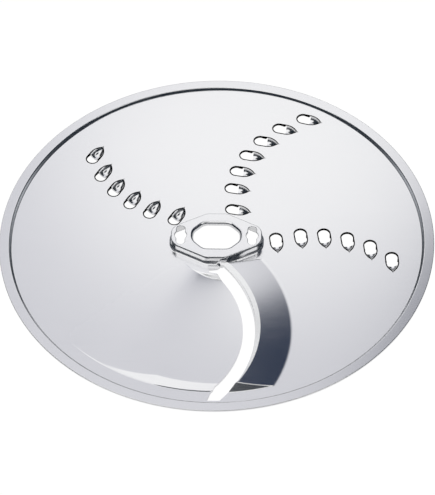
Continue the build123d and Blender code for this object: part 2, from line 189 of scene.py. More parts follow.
def tooth_mesh():
    """One tooth about the centre of its round end, from the margin of the plate around it inwards."""
    turns = np.linspace(1, 0, OGIVE_STEPS + 1)
    sides = np.linspace(TOOTH_MOUTH, 0, SIDE_STEPS + 1)[1:]
    rounds = np.linspace(pi / 2, pi, ROUND_STEPS + 1)[1:]
    hole_side = [(x, TOOTH_HALF_WIDTH) for x in sides]
    hole_back = [(TOOTH_HALF_WIDTH * cos(a), TOOTH_HALF_WIDTH * sin(a)) for a in rounds]
    upper_x = [TOOTH_MOUTH + tooth_tail * t for t in turns]
    lower_x = [TOOTH_MOUTH + (scoop_reach(SHEET, SHEET) - TOOTH_MOUTH) * t for t in turns]
    upper = [(x, scoop_radius(x, 0)) for x in upper_x]
    lower = [(x, sqrt(max(scoop_radius(x, SHEET) ** 2 - SHEET**2, 0))) for x in lower_x]
    lip_margin = lower[-1][1] - TOOTH_HALF_WIDTH
    outline = mirrored(np.array(upper + hole_side + hole_back))
    grow = -loop_normals(outline)
    grow[0] = (1, 0)
    count = len(outline)
    half = len(upper) + len(hole_side) + len(hole_back)
    lip = OGIVE_STEPS
    vertices = []
    faces = []

    def row(points, heights):
        start = len(vertices)
        vertices.extend((p[0], p[1], h) for p, h in zip(points, np.broadcast_to(heights, len(points))))
        return list(range(start, start + len(points)))

    def strip(first, second):
        for i in range(len(first)):
            j = (i + 1) % len(first)
            faces.append((first[i], first[j], second[j], second[i]))

    def station(i):
        return i if i < half else count - i

    # upper face: the margin, then the edge rolled over into the hole
    radii = np.array([scoop_radius(upper_x[station(i)], 0) if station(i) <= lip else 1 for i in range(count)])
    roll = np.minimum(TOOTH_ROLL, np.maximum(TOOTH_ROLL_SHARE * radii, TOOTH_SMALLEST_ROLL))
    rows = [row(outline + grow * TOOTH_UPPER_MARGIN, 0.0)]
    for turn in np.linspace(0, pi / 2, ROLL_ROWS + 1):
        rows.append(row(outline + grow * (roll * (1 - sin(turn)))[:, None], -roll * (1 - cos(turn))))
    for first, second in zip(rows, rows[1:]):
        strip(first, second)

    # scoop: from the rolled edge down both sides to the line along its bottom
    lip_angle = np.arcsin(SHEET / TOOTH_HALF_WIDTH)
    angles = np.linspace(lip_angle, pi / 2, SCOOP_ROWS)
    inner = {}
    for i in [*range(lip + 1), *range(count - lip, count)]:
        side = 1 if i <= lip else -1
        x, radius = upper_x[station(i)], scoop_radius(upper_x[station(i)], 0)
        inner[i] = [rows[-1][i]]
        for angle in angles:
            depth = max(radius * sin(angle), roll[i])
            vertices.append((x, side * radius * cos(angle), -depth))
            inner[i].append(len(vertices) - 1)
    lower_radius = [scoop_radius(x, SHEET) for x in lower_x]
    outer = {}
    for i in inner:
        side = 1 if i <= lip else -1
        x, radius = lower_x[station(i)], lower_radius[station(i)]
        outer[i] = []
        for angle in np.linspace(np.arcsin(min(SHEET / radius, 1.0)), pi / 2, SCOOP_ROWS):
            vertices.append((x, side * radius * cos(angle), -radius * sin(angle)))
            outer[i].append(len(vertices) - 1)
    for i in inner:
        j = (i + 1) % count
        if j not in inner:
            continue
        for m in range(SCOOP_ROWS):
            faces.append((inner[i][m], inner[j][m], inner[j][m + 1], inner[i][m + 1]))
        for m in range(SCOOP_ROWS - 1):
            faces.append((outer[i][m + 1], outer[j][m + 1], outer[j][m], outer[i][m]))
    for i, flip in ((lip, False), (count - lip, True)):
        for m in range(SCOOP_ROWS - 1):
            quad = (inner[i][m + 1], outer[i][m], outer[i][m + 1], inner[i][m + 2])
            faces.append(quad[::-1] if flip else quad)

    # wall of the round hole, and the margin of the lower face around hole and scoop
    holes = [i for i in range(count) if station(i) >= lip]
    low_edge = {}
    for i in holes:
        if station(i) == lip:
            low_edge[i] = inner[i][1]
        else:
            vertices.append((*outline[i], -SHEET))
            low_edge[i] = len(vertices) - 1
    lower_loop = mirrored(np.array(lower + hole_side + hole_back))
    lower_grow = -loop_normals(lower_loop)
    lower_grow[0] = (1, 0)
    share = np.clip(np.array([lower_loop[i][0] / TOOTH_MOUTH for i in range(count)]), 0, 1)
    margin = np.array([0.0 if station(i) <= lip else TOOTH_LOWER_MARGIN for i in range(count)])
    margin = np.where(margin > 0, margin + (lip_margin - TOOTH_LOWER_MARGIN) * share, 0.0)
    foot = {}
    for i in range(count):
        if station(i) <= lip:
            foot[i] = outer[i][0]
        else:
            vertices.append((*(lower_loop[i] + lower_grow[i] * margin[i]), -SHEET))
            foot[i] = len(vertices) - 1
    rim = row(lower_loop + lower_grow * (margin + TOOTH_LOWER_MARGIN)[:, None], -SHEET)
    for i in range(count):
        j = (i + 1) % count
        faces.append((foot[i], foot[j], rim[j], rim[i]))
        if i in low_edge and j in low_edge:
            faces.append((rows[-1][i], rows[-1][j], low_edge[j], low_edge[i]))
            faces.append((low_edge[i], low_edge[j], foot[j], foot[i]))
    mesh = bpy.data.meshes.new("grating_tooth")
    mesh.from_pydata(vertices, [], faces)
    return mesh


WELD = 0.000002


def welded(mesh):
    """Welds doubles and drops faces without area."""
    work = bmesh.new()
    work.from_mesh(mesh)
    bmesh.ops.remove_doubles(work, verts=work.verts, dist=WELD)
    bmesh.ops.dissolve_degenerate(work, dist=WELD, edges=work.edges)
    work.to_mesh(mesh)
    work.free()
    return mesh


def new_object(name, data):
    """An object in the scene, at its origin."""
    made = bpy.data.objects.new(name, data)
    bpy.context.scene.collection.objects.link(made)
    return made


tooth_object = new_object("grating_tooth", welded(tooth_mesh()))

# Places of the teeth along one arm, as named inputs of the node tree
ARM_SIZES = {
    "Pitch": 0.0097, "Disc radius": DISC_RADIUS, "Arc radius": 0.046, "Arc centre distance": 0.064,
    "Tooth tip": TOOTH_TIP, "Heading": radians(-32), "Outer turn": radians(8), "Straight radius": 0.040,
    "Plate level": PLATE_TOP,
}
FAR_ARM_DIRECTION = 22.3
ARM_SPACING = 72.0
ARM_LIMIT = 0.0805  # no tooth has its point further out
ARM_STARTS = {FAR_ARM_DIRECTION + ARM_SPACING: 0.0234, FAR_ARM_DIRECTION: 0.0215,
              FAR_ARM_DIRECTION - ARM_SPACING: 0.0262}


def arm_tree():
    """Node tree of one arm: a tooth at each step, on an arc and turned a little more towards the rim."""
    tree = bpy.data.node_groups.new("grating_arm", "GeometryNodeTree")
    tree.interface.new_socket("Geometry", in_out="OUTPUT", socket_type="NodeSocketGeometry")
    kinds = {"Tooth": "NodeSocketObject", "Material": "NodeSocketMaterial", "Count": "NodeSocketInt"}
    for label in (*kinds, "Direction", "Start", *ARM_SIZES):
        tree.interface.new_socket(label, in_out="INPUT", socket_type=kinds.get(label, "NodeSocketFloat"))
    given = tree.nodes.new("NodeGroupInput").outputs

    def calc(operation, *operands):
        return math_node(tree, operation, *operands)

    index = tree.nodes.new("GeometryNodeInputIndex").outputs[0]
    radius = calc("ADD", given["Start"], calc("MULTIPLY", index, given["Pitch"]))
    squares = calc("SUBTRACT", calc("ADD", calc("POWER", radius, 2.0),
                                    calc("POWER", given["Arc centre distance"], 2.0)),
                   calc("POWER", given["Arc radius"], 2.0))
    swing = calc("ARCCOSINE", calc("DIVIDE", squares, calc(
        "MULTIPLY", 2.0, calc("MULTIPLY", radius, given["Arc centre distance"]))))
    outward = calc("DIVIDE", calc("SUBTRACT", radius, given["Straight radius"]),
                   calc("SUBTRACT", given["Disc radius"], given["Straight radius"]))
    heading = calc("SUBTRACT", calc("ADD", given["Direction"], given["Heading"]),
                   calc("MULTIPLY", given["Outer turn"], calc("POWER", outward, 2.0)))
    bearing = calc("ADD", given["Direction"], swing)
    spot = {"Z": given["Plate level"]}
    for axis, wave in (("X", "COSINE"), ("Y", "SINE")):
        tip = calc("MULTIPLY", radius, calc(wave, bearing))
        spot[axis] = calc("SUBTRACT", tip, calc("MULTIPLY", given["Tooth tip"], calc(wave, heading)))
    place = add_node(tree, "ShaderNodeCombineXYZ", spot)
    turn = add_node(tree, "ShaderNodeCombineXYZ", {"Z": heading})
    angles = add_node(tree, "FunctionNodeEulerToRotation", {0: turn.outputs[0]})
    points = add_node(tree, "GeometryNodePoints", {"Count": given["Count"], "Position": place.outputs[0]})
    tooth = add_node(tree, "GeometryNodeObjectInfo", {"Object": given["Tooth"]})
    spread = add_node(tree, "GeometryNodeInstanceOnPoints", {
        "Points": points.outputs[0], "Instance": tooth.outputs["Geometry"], "Rotation": angles.outputs[0]})
    real = add_node(tree, "GeometryNodeRealizeInstances", {0: spread.outputs[0]})
    paint = add_node(tree, "GeometryNodeSetMaterial", {
        "Geometry": real.outputs[0], "Material": given["Material"]})
    add_node(tree, "NodeGroupOutput", {0: paint.outputs[0]})
    return tree


grating_arm = arm_tree()
arm_sockets = {item.name: item.identifier for item in grating_arm.interface.items_tree
               if item.in_out == "INPUT"}


def arm_mesh(direction, start):
    """The plain mesh of one arm of teeth."""
    holder = new_object("grating_arm", bpy.data.meshes.new("grating_arm"))
    modifier = holder.modifiers.new("arm", "NODES")
    modifier.node_group = grating_arm
    values = dict(ARM_SIZES, Tooth=tooth_object, Material=steel_sheet, Direction=radians(direction),
                  Start=start, Count=int((ARM_LIMIT - start) / ARM_SIZES["Pitch"]) + 1)
    for label, value in values.items():
        modifier[arm_sockets[label]] = value
    view = bpy.context.evaluated_depsgraph_get()
    mesh = bpy.data.meshes.new_from_object(holder.evaluated_get(view))
    holder.modifiers.remove(modifier)
    bpy.data.objects.remove(holder)
    return mesh


# The disc is gathered here: its points, and its faces with the side of the sheet that each belongs to
disc_points = []
disc_faces = []
face_sides = []
UPPER, LOWER, WALL, GROUND = range(4)


def add_points(points):
    """Adds points in space and returns their numbers."""
    start = len(disc_points)
    disc_points.extend(tuple(map(float, p)) for p in points)
    return list(range(start, start + len(points)))


def add_face(corners, side):
    """Adds a face by the numbers of its points."""
    disc_faces.append(tuple(corners))
    face_sides.append(side)


def open_loops(mesh, shift):
    """The open edges of a mesh as closed loops of point numbers, in the faces' own direction."""
    used = {}
    for face in mesh.polygons:
        for a, b in zip(face.vertices, [*face.vertices[1:], face.vertices[0]]):
            used[a, b] = True
    following = {a: b for a, b in used if (b, a) not in used}
    loops = []
    while following:
        first = next(iter(following))
        loop = []
        while first in following:
            loop.append(first + shift)
            first = following.pop(first)
        loops.append(loop)
    return loops


upper_tooth_loops = []
lower_tooth_loops = []
for arm_direction, arm_start in ARM_STARTS.items():
    teeth = arm_mesh(arm_direction, arm_start)
    first_point = add_points([v.co for v in teeth.vertices])[0]
    for face in teeth.polygons:
        corners = [first_point + v for v in face.vertices]
        levels = [disc_points[i][2] for i in corners]
        side = WALL
        if min(levels) > PLATE_TOP - WELD:
            side = UPPER
        elif max(abs(level - PLATE_TOP + SHEET) for level in levels) < WELD:
            side = LOWER
        add_face(corners, side)
    for tooth_loop in open_loops(teeth, first_point):
        top = disc_points[tooth_loop[0]][2] > PLATE_TOP - SHEET / 2
        (upper_tooth_loops if top else lower_tooth_loops).append(tooth_loop)
    bpy.data.meshes.remove(teeth)
bpy.data.objects.remove(tooth_object)

# Raised border.
# A step all round lifts the outer edge and stiffens the sheet; the lip beyond it falls a little.
# It is pressed with the rest, with soft bends at its foot and its crest.
BORDER_WIDTH = 0.005
BORDER_RISE = 0.0012
BORDER_STEP_RUN = 0.0009
BORDER_EDGE_DROP = 0.0001
BORDER_FOOT_BEND = 0.0004
BORDER_CREST_BEND = 0.0006
TIGHT_BEND = 0.0001  # the inner side of a bend is never sharper
border_foot = DISC_RADIUS - BORDER_WIDTH


def rounded_section(corners, bends, inset):
    """A section of the sheet as a height over distance, an inset below its upper line.
    Returns the height function and the distances where it bends."""
    line = np.array(corners, float)
    runs = unit(np.diff(line, axis=0))
    ups = np.c_[-runs[:, 1], runs[:, 0]]
    low = [line[0] - inset * ups[0]]
    arcs = []
    for i, bend in enumerate(bends):
        corner = line[i + 1] - inset * (ups[i] + ups[i + 1]) / (1 + ups[i] @ ups[i + 1])
        turn = atan2(runs[i][0] * runs[i + 1][1] - runs[i][1] * runs[i + 1][0], runs[i] @ runs[i + 1])
        sign = 1 if turn > 0 else -1
        radius = max(bend + sign * inset, TIGHT_BEND)
        start = corner - runs[i] * radius * tan(abs(turn) / 2)
        end = corner + runs[i + 1] * radius * tan(abs(turn) / 2)
        arcs.append((start, end, start + sign * radius * ups[i], radius, sign))
        low.append(corner)

    def height(distance):
        level = low[0][1] + (distance - low[0][0]) * runs[0][1] / runs[0][0]
        for i, (start, end, centre, radius, sign) in enumerate(arcs):
            arc = centre[1] - sign * np.sqrt(np.maximum(radius**2 - (distance - centre[0]) ** 2, 0))
            level = np.where(distance > start[0], arc, level)
            after = end[1] + (distance - end[0]) * runs[i + 1][1] / runs[i + 1][0]
            level = np.where(distance > end[0], after, level)
        return level

    return height, [(start[0], end[0]) for start, end, *_ in arcs]


def border_section(inset):
    """Section of the border over the distance from the disc's axis."""
    return rounded_section(
        [(0, PLATE_TOP), (border_foot, PLATE_TOP), (border_foot + BORDER_STEP_RUN, PLATE_TOP + BORDER_RISE),
         (DISC_RADIUS, PLATE_TOP + BORDER_RISE - BORDER_EDGE_DROP)],
        [BORDER_FOOT_BEND, BORDER_CREST_BEND], inset)


# Raised hub.
# A long boss with slanted corners, drawn up so that a carrier can hold the disc under it.
# Its walls stand nearly upright, and the bends at crest and foot are those of the drawing tool.
HUB_HALF_LENGTH = 0.0188
HUB_HALF_WIDTH = 0.0119
HUB_HALF_SIDE_FLAT = 0.0042
HUB_HALF_END_FLAT = 0.0043
HUB_CORNER = 0.005
HUB_RISE = 0.0042
HUB_DRAFT = radians(2)
HUB_CREST_BEND = 0.0004
HUB_FOOT_BEND = 0.0007
hub_top = PLATE_TOP + HUB_RISE
hub_sizes = (HUB_HALF_LENGTH, HUB_HALF_END_FLAT, HUB_HALF_SIDE_FLAT, HUB_HALF_WIDTH, HUB_CORNER)
CORNER_STEPS = 6
FLAT_STEPS = 6


def octagon_core(half_length, half_end, half_side, half_width, corner):
    """Corners of an octagon pulled in by its corner rounding, in the first quadrant."""
    run = np.array([half_length - half_side, half_end - half_width])
    normal = np.array([-run[1], run[0]]) / hypot(*run)
    reach = normal @ (half_side, half_width) - corner
    top = ((reach - normal[1] * (half_width - corner)) / normal[0], half_width - corner)
    end = (half_length - corner, (reach - normal[0] * (half_length - corner)) / normal[1])
    return top, end, atan2(normal[1], normal[0])


def octagon_loop(sizes, grow):
    """The rounded octagon as a closed loop, grown by a distance, counter-clockwise from +X."""
    top, end, slant = octagon_core(*sizes)
    radius = sizes[4] + grow
    corners = [(end, 0, slant), (top, slant, pi / 2)]
    arcs = []
    for (x, y), first, last in corners:
        turns = np.linspace(first, last, CORNER_STEPS + 1)
        arcs.append(np.c_[x + radius * np.cos(turns), y + radius * np.sin(turns)])
    quadrant = arcs[0], arcs[1]
    half = [*quadrant, *[(a * (-1, 1))[::-1] for a in quadrant[::-1]]]
    whole = [*half, *[(a * (1, -1))[::-1] for a in half[::-1]]]
    points = []
    for arc, following in zip(whole, [*whole[1:], whole[0]]):
        points.extend(arc)
        steps = np.linspace(0, 1, FLAT_STEPS + 1)[1:-1, None]
        points.extend(arc[-1] + (following[0] - arc[-1]) * steps)
    return np.array(points)


def octagon_distance(sizes, x, y):
    """Distance to the rounded octagon's outline, less than nothing inside it."""
    top, end, _ = octagon_core(*sizes)
    px, py = np.abs(x), np.abs(y)
    best = np.full(px.shape, np.inf)
    inside = np.full(px.shape, -np.inf)
    ring = [(0, top[1]), top, end, (end[0], 0)]
    for (ax, ay), (bx, by) in zip(ring, ring[1:]):
        run = np.array([bx - ax, by - ay])
        share = np.clip(((px - ax) * run[0] + (py - ay) * run[1]) / (run @ run), 0, 1)
        best = np.minimum(best, np.hypot(px - ax - share * run[0], py - ay - share * run[1]))
        inside = np.maximum(inside, ((px - ax) * -run[1] + (py - ay) * run[0]) / hypot(*run))
    return np.where(inside < 0, inside, best) - sizes[4]


def hub_section(inset):
    """Section of the hub's wall over the distance from the hub's outline."""
    return rounded_section(
        [(-HUB_HALF_LENGTH, hub_top), (0, hub_top), (HUB_RISE * tan(HUB_DRAFT), PLATE_TOP),
         (DISC_RADIUS, PLATE_TOP)],
        [HUB_CREST_BEND, HUB_FOOT_BEND], inset)


# Slicing slot and blade.
# Behind the curved slot the sheet rises as part of a cone and is ground to a knife edge;
# before it a sector is sunk, so that a slice can pass between the two.
SLOT_EDGE_RADIUS = 0.0534
SLOT_PLATE_RADIUS = 0.0444
SLOT_HUB_GAP = 0.0015
SLOT_RIM_GAP = 0.0009
SLOT_ARC_GAP = 0.0095
SLOT_STEP = 0.0006
BLADE_CENTRE = (-0.0313, -0.0478)
BLADE_RISE = 0.002
BLADE_BEND_RADIUS = 0.0631
BLADE_GRIND_RADIUS = 0.0504
BLADE_GRIND_SLOPE = tan(radians(15))
BLADE_RIM_RADIUS = 0.080
BLADE_RIM_RUN = 0.0033 / BLADE_RISE
BLADE_HUB_POINT = (0.0055, -0.0112)
BLADE_HUB_DIRECTION = radians(8.5)
BLADE_HUB_RUN = 0.0015 / BLADE_RISE
BLADE_SOFTNESS = 0.00012  # height over which the blade's bends are blended
BLADE_END_GAP = 0.0009
BLADE_END = SLOT_EDGE_RADIUS - BLADE_END_GAP  # the blade stops inside the slot, just before its edge
BLADE_END_RUN = 0.3
KNIFE_EDGE = 0.00006
GRIND_STEP = 0.00002
GRIND_TRIES = 200
SECTOR_DEPTH = 0.0022
SECTOR_START = radians(238)
SECTOR_MASK_LEAD = 0.5  # the sector is only worked out from this many radians before its start
SECTOR_FALL = SECTOR_DEPTH / radians(46)
SECTOR_START_SHARE = 0.35  # the floor starts to fall at this share of its full slope
SECTOR_START_LEAD = radians(4)
SECTOR_START_BLEND = radians(6)
SECTOR_INNER = 0.0176
SECTOR_INNER_RUN = 0.0024 / SECTOR_DEPTH
SECTOR_OUTER = 0.0795
SECTOR_OUTER_RUN = 0.0023 / SECTOR_DEPTH
SECTOR_TILT = 0.13  # near the rim the floor rises a little before its wall
SECTOR_TILT_START = 0.0742
SECTOR_TILT_SOFTNESS = 0.0006
SECTOR_SOFTNESS = 0.00025
SECTOR_DISH = 0.0003
EDGE_HUB_END = (0.0032, 0.0005)  # X, and distance past the slot's tip beside the hub
PLATE_HUB_END = (0.0005, 0.0035)
SLOT_HUB_CORNERS = [(0.002, 0), (0.0006, 0.0013), (-0.00265, 0.0016), (-0.00265, 0.0031)]
EDGE_RIM_TURN = 278.2  # degrees about the disc's axis
PLATE_RIM_TURN = 271.0
SLOT_RIM_TURNS = (268.8, 272.3)
slot_tip_y = -(HUB_HALF_WIDTH + HUB_RISE * tan(HUB_DRAFT)) - SLOT_HUB_GAP


def past_tip(x, distance):
    """A place past the slot's tip beside the hub."""
    return x, slot_tip_y - distance


def polar(radius, degrees):
    """A place at a radius and angle about the disc's axis."""
    return np.array([radius * cos(radians(degrees)), radius * sin(radians(degrees))])


def arc_points(first, last, radius):
    """Points on the arc from first to last that bows out to +X, and its centre."""
    first, last = np.array(first), np.array(last)
    run = last - first
    normal = np.array([-run[1], run[0]]) / hypot(*run)
    rise = sqrt(radius**2 - (run @ run) / 4)
    centre = min(((first + last) / 2 + normal * rise * s for s in (1, -1)), key=lambda c: c[0])
    a, b = (atan2(*(p - centre)[::-1]) for p in (first, last))
    turns = np.linspace(a, b, int(abs(b - a) * radius / SLOT_STEP) + 1)
    return np.c_[centre[0] + radius * np.cos(turns), centre[1] + radius * np.sin(turns)], centre


def straight_points(corners):
    """Points along straight runs between corners, without the first and last corner."""
    points = []
    for a, b in zip(corners, corners[1:]):
        a, b = np.array(a), np.array(b)
        steps = max(int(hypot(*(b - a)) / SLOT_STEP), 1)
        points.extend(a + (b - a) * s / steps for s in range(1, steps + 1))
    return np.array(points[:-1])


edge_hub_end = past_tip(*EDGE_HUB_END)
edge_rim_end = polar(border_foot - SLOT_ARC_GAP, EDGE_RIM_TURN)
plate_hub_end = past_tip(*PLATE_HUB_END)
plate_rim_end = polar(border_foot - SLOT_ARC_GAP, PLATE_RIM_TURN)
slot_hub_corners = [past_tip(*corner) for corner in SLOT_HUB_CORNERS]
slot_rim_corners = [polar(border_foot - SLOT_RIM_GAP, turn) for turn in SLOT_RIM_TURNS]
cutting_edge, edge_centre = arc_points(edge_rim_end, edge_hub_end, SLOT_EDGE_RADIUS)
near_edge, near_centre = arc_points(plate_hub_end, plate_rim_end, SLOT_PLATE_RADIUS)


def soft_max(a, b, softness):
    """The larger of two heights, blended where they differ by less than the softness."""
    share = np.clip(0.5 + 0.5 * (a - b) / softness, 0, 1)
    return b + (a - b) * share + softness * share * (1 - share)


def soft_min(a, b, softness):
    """The smaller of two heights, blended in the same way."""
    return -soft_max(-a, -b, softness)


def blade_height(x, y, inset):
    """The blade before grinding, and never lower than the plate."""
    level = PLATE_TOP - inset
    slope = BLADE_RISE / (BLADE_BEND_RADIUS - BLADE_GRIND_RADIUS)
    reach = np.hypot(x - BLADE_CENTRE[0], y - BLADE_CENTRE[1])
    ramp = PLATE_TOP - inset * hypot(1, slope) + slope * (BLADE_BEND_RADIUS - reach)
    rim = PLATE_TOP + (BLADE_RIM_RADIUS - inset * hypot(1, BLADE_RIM_RUN) - np.hypot(x, y)) / BLADE_RIM_RUN
    away = ((x - BLADE_HUB_POINT[0]) * sin(BLADE_HUB_DIRECTION)
            - (y - BLADE_HUB_POINT[1]) * cos(BLADE_HUB_DIRECTION))
    hub = PLATE_TOP + (away - inset * hypot(1, BLADE_HUB_RUN)) / BLADE_HUB_RUN
    slot_reach = np.hypot(x - edge_centre[0], y - edge_centre[1])
    end = PLATE_TOP + (slot_reach - BLADE_END - inset * hypot(1, BLADE_END_RUN)) / BLADE_END_RUN
    raised = soft_min(soft_min(ramp, rim, BLADE_SOFTNESS), hub, BLADE_SOFTNESS)
    raised = np.where(x > BLADE_CENTRE[0], np.minimum(raised, end), level - SHEET)
    return soft_max(raised, np.full(x.shape, level), BLADE_SOFTNESS)


def sector_height(x, y, inset):
    """The sunk sector's floor and walls, and never higher than the plate."""
    level = PLATE_TOP - inset
    turn = np.mod(np.arctan2(y, x), 2 * pi)
    radius = np.hypot(x, y)
    turned_in = turn - SECTOR_START
    gentle_start = SECTOR_START_SHARE * (turned_in + SECTOR_START_LEAD)
    floor = level - SECTOR_FALL * soft_max(turned_in, gentle_start, SECTOR_START_BLEND)
    tilt_start = np.maximum(SECTOR_TILT_START, SECTOR_OUTER - (level - floor) / SECTOR_TILT)
    beyond = soft_max(radius - tilt_start, np.zeros(radius.shape), SECTOR_TILT_SOFTNESS)
    floor = floor + SECTOR_TILT * beyond
    inner = PLATE_TOP - (radius - SECTOR_INNER + inset * hypot(1, SECTOR_INNER_RUN)) / SECTOR_INNER_RUN
    outer = PLATE_TOP - (SECTOR_OUTER + inset * hypot(1, SECTOR_OUTER_RUN) - radius) / SECTOR_OUTER_RUN
    sunk = soft_max(soft_max(floor, inner, SECTOR_SOFTNESS), outer, SECTOR_DISH)
    sunk = soft_min(sunk, np.full(x.shape, level), SECTOR_SOFTNESS)
    before_slot = np.hypot(x - near_centre[0], y - near_centre[1]) < SLOT_PLATE_RADIUS + 2 * SLOT_STEP
    return np.where(before_slot & (turn > SECTOR_START - SECTOR_MASK_LEAD), sunk, level)


def grind_height(x, y):
    """The ground bevel: a shallow cone that falls towards the cutting edge."""
    reach = np.hypot(np.asarray(x) - BLADE_CENTRE[0], np.asarray(y) - BLADE_CENTRE[1])
    return PLATE_TOP + BLADE_RISE - (BLADE_GRIND_RADIUS - reach) * BLADE_GRIND_SLOPE


def sheet_height(x, y, inset, ground=False):
    """Height of the sheet's upper face, or with an inset of its lower face, before or after grinding."""
    x, y = np.asarray(x, float), np.asarray(y, float)
    level = PLATE_TOP - inset
    border = border_section(inset)[0](np.hypot(x, y)) - level
    hub = hub_section(inset)[0](octagon_distance(hub_sizes, x, y)) - level
    blade = blade_height(x, y, inset) - level
    if ground:
        blade = np.where(blade > 0, np.minimum(blade, grind_height(x, y) - level), blade)
    sector = sector_height(x, y, inset) - level
    return level + border + np.maximum(hub, blade) + sector


def knife_edge(points):
    """Moves the points of the cutting edge back to where the bevel leaves a thin edge."""
    points = points.copy()
    outward = unit(points - BLADE_CENTRE)
    for _ in range(GRIND_TRIES):
        x, y = points[:, 0], points[:, 1]
        left = sheet_height(x, y, 0, True) - sheet_height(x, y, SHEET)
        thin = left < KNIFE_EDGE
        if not thin.any():
            break
        points[thin] += outward[thin] * GRIND_STEP
    return points


slot_outline = np.vstack([
    knife_edge(cutting_edge), straight_points([edge_hub_end, *slot_hub_corners, plate_hub_end]),
    near_edge, straight_points([plate_rim_end, *slot_rim_corners, edge_rim_end]),
])

# Drive hole and locating holes.
# The drive hole has its edge turned down into a collar that grips the carrier's spindle;
# the two locating holes are plain piercings, a bore with a slot through it.
DRIVE_SIZES = (0.0096, 0.0023, 0.0052, 0.0067, 0.0040)  # in the order of hub_sizes
DRIVE_LIP = 0.0012
DRIVE_LIP_STEPS = 6
COLLAR_DEPTH = 0.0019
COLLAR_EDGE = 0.0001
COLLAR_FILLET = 0.0003
COLLAR_FILLET_STEPS = 3
LOCATOR_OFFSET = 0.0148
LOCATOR_BORE = 0.00245
LOCATOR_SLOT = 0.00175
LOCATOR_REACH = 0.005
PIERCED_ROLL = 0.00025
LOCATOR_STEPS = 10


def locator_outline(centre_x):
    """A bore with a narrower slot through it, counter-clockwise."""
    meet = atan2(sqrt(LOCATOR_BORE**2 - LOCATOR_SLOT**2), LOCATOR_SLOT)
    bore = np.linspace(-meet, meet, LOCATOR_STEPS)
    end = np.linspace(0, pi, LOCATOR_STEPS)
    lift = LOCATOR_REACH - LOCATOR_SLOT
    half = np.vstack([np.c_[LOCATOR_BORE * np.cos(bore), LOCATOR_BORE * np.sin(bore)],
                      np.c_[LOCATOR_SLOT * np.cos(end), lift + LOCATOR_SLOT * np.sin(end)]])
    return np.vstack([half, -half]) + (centre_x, 0)


# Faces of the disc.
# The upper and lower face of the sheet, one thickness apart through every bend, and the cut edges between.
# They are spread over a net of points that is dense where the sheet bends.
NET_STEPS = [0.006 / 2**level for level in range(6)]
NET_TOLERANCE = 0.000005
NET_CLEARANCE = 0.45  # of the net's step, from points that are already placed
CLEARANCE_STEP = NET_STEPS[2]
MERGE_DISTANCE = 1e-9
RING_POINTS = 480
RIM_ROLL = 0.00022
RIM_DRAFT = 0.3 * RIM_ROLL
EDGE_ROLL_STEPS = 4
BEND_STEPS = 8
RIM_CLEARANCE = 0.0006
LIP_SHARES = (0.55, 0.75, 0.88)
GRADIENT_STEP = 0.000004
WALL_STEP = 0.00012
WALL_LONG_STEP = 3 * WALL_STEP
INNER_WALL = (-0.0004, 0.0014)  # reach of the sector's inner wall about its foot
INNER_WALL_TURN = radians(62)
BLADE_WALL = (-0.0006, 0.0024)  # reach of the blade's wall beside the hub
BLADE_WALL_LENGTH = (-0.002, 0.030)
WALL_HUB_GAP = 0.001
BEVEL_TRIM = 2
BEVEL_SEARCH = 0.001
BEVEL_SAMPLES = 400
BEVEL_TOLERANCE = 1e-7


def slope_normals(height, x, y):
    """Unit normals of a height function."""
    step = GRADIENT_STEP
    across = (height(x + step, y) - height(x - step, y)) / (2 * step)
    along = (height(x, y + step) - height(x, y - step)) / (2 * step)
    return unit(np.c_[-across, -along, np.ones(len(across))])


def ring(radius):
    """Places on a circle about the disc's axis."""
    turns = np.linspace(0, 2 * pi, RING_POINTS, endpoint=False)
    return np.c_[radius * np.cos(turns), radius * np.sin(turns)]


def inside_loop(points, loop):
    """Which points lie inside a closed loop."""
    inside = np.zeros(len(points), bool)
    low, high = loop.min(0), loop.max(0)
    near = np.flatnonzero(np.all((points >= low) & (points <= high), axis=1))
    x, y = points[near].T
    crossed = np.zeros(len(near), bool)
    for (ax, ay), (bx, by) in zip(loop, np.roll(loop, -1, 0)):
        if ay != by:
            spans = (ay > y) != (by > y)
            crossed ^= spans & (x < ax + (y - ay) * (bx - ax) / (by - ay))
    inside[near] = crossed
    return inside


def net_points(height, limit, band):
    """Points of a square net, finer where the height bends, up to a radius and outside the hub's band."""
    kept = {}
    for step in NET_STEPS:
        count = int(limit / step)
        grid = np.arange(-count, count + 1) * step
        x, y = (g.ravel() for g in np.meshgrid(grid, grid))
        near = np.hypot(x, y) < limit
        x, y = x[near], y[near]
        bend = np.zeros(len(x))
        middle = height(x, y)
        for dx, dy in ((step, 0), (0, step), (step, step), (step, -step)):
            bend = np.maximum(bend, np.abs(height(x + dx, y + dy) + height(x - dx, y - dy) - 2 * middle))
        keep = bend > NET_TOLERANCE if step < NET_STEPS[0] else np.ones(len(x), bool)
        away = octagon_distance(hub_sizes, x, y)
        keep &= (away < band[0]) | (away > band[1])
        fine = np.round(np.c_[x[keep], y[keep]] / NET_STEPS[-1]).astype(int)
        for key in map(tuple, fine):
            kept.setdefault(key, step)
    places = np.array(list(kept), float) * NET_STEPS[-1]
    return places, np.array(list(kept.values()))


